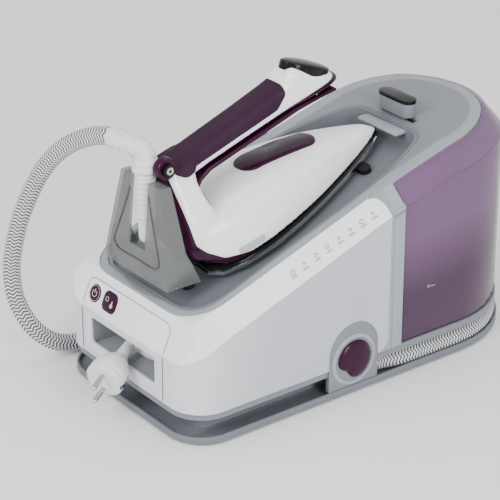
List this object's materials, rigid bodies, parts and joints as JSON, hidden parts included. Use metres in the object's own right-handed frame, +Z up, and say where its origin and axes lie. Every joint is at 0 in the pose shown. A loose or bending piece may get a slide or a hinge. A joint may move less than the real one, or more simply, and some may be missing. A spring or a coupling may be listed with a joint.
{
  "type": "steam generator iron",
  "caption": "Steam generator iron: an iron resting on a steam station with a clear removable water tank, a steam hose and a mains lead.",
  "frame": {"origin": "middle of the base tray's outline, on the surface that the feet stand on", "axes": "+Z up, the control panel faces -Y, +X is the side with the drain knob"},
  "size_m": [0.2678, 0.4894, 0.3115],
  "materials": {
    "white_gloss": "gloss",
    "grey_plastic": "satin",
    "purple_gloss": "gloss",
    "soft_grip": "matte",
    "clear_purple": "translucent gloss",
    "clear_smoke": "clear gloss",
    "black_gloss": "gloss",
    "black_rubber": "matte",
    "white_flex": "satin",
    "braid": "woven",
    "bright_steel": "polished",
    "plain_steel": "brushed",
    "cast_alloy": "cast",
    "brass_parts": "satin",
    "dark_inner": "matte"
  },
  "bodies": {
    "station": {"foot_front_right": "black_rubber", "foot_front_left": "black_rubber", "foot_rear_right": "black_rubber", "foot_rear_left": "black_rubber", "base_tray": "grey_plastic", "plinth": "grey_plastic", "main_housing": "white_gloss", "control_panel": "white_gloss", "cord_compartment": "grey_plastic", "top_deck": "grey_plastic", "iron_rest": "grey_plastic", "front_rest_pads": "black_rubber", "rear_rest_pads": "black_rubber", "rear_housing": "grey_plastic", "knob_panel": "grey_plastic", "boiler": "plain_steel", "boiler_brackets": "plain_steel", "boiler_heater": "plain_steel", "drain_pipe": "brass_parts", "pump": "dark_inner", "steam_valve": "brass_parts", "steam_pipe": "plain_steel", "water_pipe": "dark_inner", "control_board": "dark_inner", "cord_gland": "black_gloss", "mains_coil": "white_flex", "mains_lead_inner": "white_flex", "mains_lead_outer": "white_flex", "mains_plug": "white_flex", "plug_pins": "bright_steel", "hose_gland": "grey_plastic", "steam_hose_stored": "braid", "steam_hose_loop": "braid"},
    "tank": {"water_tank": "clear_purple", "tank_cover": "clear_purple", "tank_valve": "black_gloss"},
    "knob": {"drain_knob": "purple_gloss"},
    "power": {"power_button": "purple_gloss"},
    "mode": {"mode_button": "purple_gloss"},
    "lock": {"lock_slider": "grey_plastic", "lock_cap": "black_gloss"},
    "tongue": {"lock_tongue": "grey_plastic"},
    "iron": {"soleplate": "bright_steel", "steam_chamber": "cast_alloy", "heat_shield": "black_gloss", "iron_body": "white_gloss", "body_pad": "purple_gloss", "light_window": "clear_smoke", "handle_shell": "white_gloss", "handle_grip": "soft_grip", "handle_underside": "purple_gloss", "head_display": "black_gloss", "heel_frame": "purple_gloss", "heel_cover": "clear_smoke", "hose_boot": "white_flex", "boot_collar": "white_flex", "hose_sleeve": "white_flex", "boot_pivot": "black_gloss"},
    "trigger": {"steam_trigger": "purple_gloss"},
    "headkey": {"head_button": "black_gloss"}
  },
  "joints": [
    {"name": "iron_lift", "type": "slide", "parent": "station", "child": "iron", "axis": [0, -0.9, 0.4359], "range_m": [0, 0.12], "deforming": ["steam_hose_loop"]},
    {"name": "tank_slide", "type": "slide", "parent": "station", "child": "tank", "axis": [0, 1, 0], "range_m": [0, 0.12]},
    {"name": "drain_turn", "type": "hinge", "parent": "station", "child": "knob", "pos_m": [0.105, -0.0295, 0.037], "axis": [1, 0, 0], "range_deg": [0, 90]},
    {"name": "power_press", "type": "slide", "parent": "station", "child": "power", "axis": [0, 0.9157, -0.4019], "range_m": [0, 0.0008], "stiffness_N_per_m": 600},
    {"name": "mode_press", "type": "slide", "parent": "station", "child": "mode", "axis": [0, 0.9157, -0.4019], "range_m": [0, 0.0008], "stiffness_N_per_m": 600},
    {"name": "lock_slide", "type": "slide", "parent": "station", "child": "lock", "axis": [1, 0, 0], "range_m": [0, 0.015]},
    {"name": "tongue_slide", "type": "slide", "parent": "station", "child": "tongue", "axis": [0, 1, 0], "range_m": [0, 0.008]},
    {"name": "trigger_pull", "type": "hinge", "parent": "iron", "child": "trigger", "pos_m": [0, 0.0018, 0.2721], "axis": [-1, 0, 0], "range_deg": [0, 6], "stiffness_Nm_per_rad": 0.6},
    {"name": "head_press", "type": "slide", "parent": "iron", "child": "headkey", "axis": [0, -0.3332, -0.9429], "range_m": [0, 0.0009], "stiffness_N_per_m": 600}
  ],
  "couplings": [
    {"joint": "tongue_slide", "follows": "lock_slide", "ratio": 0.53333}
  ]
}
